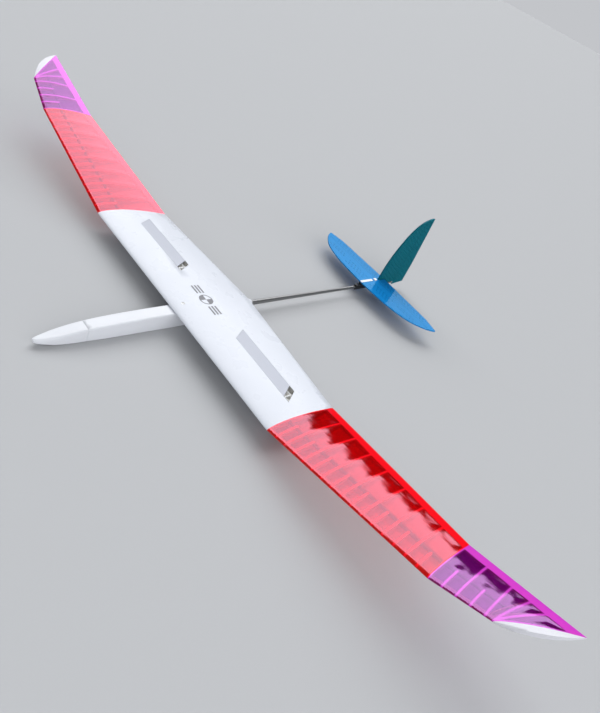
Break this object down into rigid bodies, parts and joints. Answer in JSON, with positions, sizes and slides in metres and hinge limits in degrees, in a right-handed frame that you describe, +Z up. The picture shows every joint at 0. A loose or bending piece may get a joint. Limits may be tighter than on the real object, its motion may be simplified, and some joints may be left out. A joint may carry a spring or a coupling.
{
  "type": "rc sailplane",
  "caption": "Radio-controlled thermal sailplane with polyhedral film-covered wing, top spoilers, white pod with pull-off nose, tapered carbon boom and flat tail.",
  "frame": {"origin": "bottom centre of the bounding box: on the belly plane, on the centre line, halfway from nose tip to rudder trailing edge", "axes": "+X along the span to the aircraft's left, +Y aft to the tail, +Z up"},
  "size_m": [1.9996, 1.2337, 0.271],
  "materials": {
    "white_film": "opaque gloss film",
    "red_film": "translucent gloss film",
    "violet_film": "translucent gloss film",
    "white_shell": "smooth moulded shell",
    "grey_film": "satin film",
    "blue_film": "translucent film over a perforated plate",
    "teal_film": "translucent film over a perforated plate",
    "balsa": "sanded balsa",
    "plywood": "birch plywood",
    "carbon": "wound carbon tube, gloss",
    "steel_wire": "drawn wire",
    "black_plastic": "moulded",
    "white_plastic": "moulded nylon",
    "battery_wrap": "shrink wrap",
    "lead": "cast ballast"
  },
  "bodies": {
    "airframe": {"battery": "battery_wrap", "boom_end_plug": "white_plastic", "centre_cover": "white_film", "centre_leading_edge": "balsa", "centre_ribs": "balsa", "centre_spar": "carbon", "centre_trailing_edge": "balsa", "elevator_servo": "black_plastic", "equipment_tray": "plywood", "fin": "teal_film", "fin_clip": "white_plastic", "inner_joiners": "steel_wire", "locating_pin": "steel_wire", "middle_cover_left": "red_film", "middle_cover_right": "red_film", "middle_leading_edges": "balsa", "middle_ribs": "balsa", "middle_spars": "carbon", "middle_trailing_edges": "balsa", "nose_ballast": "lead", "pod_shell": "white_shell", "receiver": "black_plastic", "root_blocks": "plywood", "rudder_servo": "black_plastic", "servo_tray": "plywood", "spoiler_servo_left": "black_plastic", "spoiler_servo_right": "black_plastic", "spoiler_tray_left": "balsa", "spoiler_tray_right": "balsa", "stab_mount": "black_plastic", "stab_screws": "white_plastic", "stab_strap": "white_plastic", "stabilizer": "blue_film", "tail_boom": "carbon", "tip_cap_left": "white_shell", "tip_cap_right": "white_shell", "tip_cover_left": "violet_film", "tip_cover_right": "violet_film", "tip_joiners": "steel_wire", "tip_leading_edges": "balsa", "tip_ribs": "balsa", "tip_spars": "carbon", "tip_trailing_edges": "balsa", "tow_hook_block": "white_plastic", "wing_bolt": "white_plastic", "wing_nut_plate": "plywood"},
    "spoiler_left": {"spoiler_left": "grey_film"},
    "spoiler_right": {"spoiler_right": "grey_film"},
    "spoiler_lever_left": {"spoiler_lever_left": "white_plastic"},
    "spoiler_lever_right": {"spoiler_lever_right": "white_plastic"},
    "elevator": {"elevator": "blue_film", "elevator_horn": "black_plastic"},
    "elevator_rod": {"elevator_pushrod": "steel_wire"},
    "elevator_arm": {"elevator_servo_arm": "white_plastic"},
    "rudder": {"rudder": "teal_film", "rudder_horn": "black_plastic"},
    "rudder_rod": {"rudder_pushrod": "steel_wire"},
    "rudder_arm": {"rudder_servo_arm": "white_plastic"},
    "nose_cone": {"nose_cone": "white_shell"}
  },
  "joints": [
    {"name": "spoiler_left_hinge", "type": "hinge", "parent": "airframe", "child": "spoiler_left", "pos_m": [0.23094, -0.21715, 0.05781], "axis": [1, -0.0002, -0.0061], "range_deg": [0, 60]},
    {"name": "spoiler_left_lever_turn", "type": "hinge", "parent": "airframe", "child": "spoiler_lever_left", "pos_m": [0.33808, -0.20985, 0.05046], "axis": [1, 0, 0], "range_deg": [0, 76]},
    {"name": "spoiler_right_hinge", "type": "hinge", "parent": "airframe", "child": "spoiler_right", "pos_m": [-0.22506, -0.21715, 0.05784], "axis": [1, 0.0002, 0.0061], "range_deg": [0, 60]},
    {"name": "spoiler_right_lever_turn", "type": "hinge", "parent": "airframe", "child": "spoiler_lever_right", "pos_m": [-0.11792, -0.20982, 0.05179], "axis": [1, 0, 0], "range_deg": [0, 76]},
    {"name": "elevator_hinge", "type": "hinge", "parent": "airframe", "child": "elevator", "pos_m": [0, 0.461, 0.0454], "axis": [1, 0, 0], "range_deg": [-18, 18]},
    {"name": "elevator_rod_slide", "type": "slide", "parent": "airframe", "child": "elevator_rod", "axis": [0, 1, 0], "range_m": [-0.0063, 0.0063]},
    {"name": "elevator_arm_turn", "type": "hinge", "parent": "airframe", "child": "elevator_arm", "pos_m": [-0.0084, -0.431, 0.026], "axis": [0, 0, 1], "range_deg": [-36, 36]},
    {"name": "rudder_hinge", "type": "hinge", "parent": "airframe", "child": "rudder", "pos_m": [0.0025, 0.56, 0.12], "axis": [0, 0, 1], "range_deg": [-28, 28]},
    {"name": "rudder_rod_slide", "type": "slide", "parent": "airframe", "child": "rudder_rod", "axis": [0, 1, 0], "range_m": [-0.0059, 0.0059]},
    {"name": "rudder_arm_turn", "type": "hinge", "parent": "airframe", "child": "rudder_arm", "pos_m": [0.0084, -0.397, 0.026], "axis": [0, 0, 1], "range_deg": [-34, 34]},
    {"name": "nose_cone_pull", "type": "slide", "parent": "airframe", "child": "nose_cone", "axis": [0, -1, 0], "range_m": [0, 0.03]}
  ],
  "couplings": [
    {"joint": "spoiler_right_hinge", "follows": "spoiler_left_hinge", "ratio": 1},
    {"joint": "spoiler_left_lever_turn", "follows": "spoiler_left_hinge", "ratio": 1.25},
    {"joint": "spoiler_right_lever_turn", "follows": "spoiler_left_hinge", "ratio": 1.25},
    {"joint": "elevator_rod_slide", "follows": "elevator_hinge", "m_per_rad": 0.0194},
    {"joint": "elevator_arm_turn", "follows": "elevator_hinge", "ratio": 1.94},
    {"joint": "rudder_rod_slide", "follows": "rudder_hinge", "m_per_rad": -0.0115},
    {"joint": "rudder_arm_turn", "follows": "rudder_hinge", "ratio": 1.15}
  ]
}
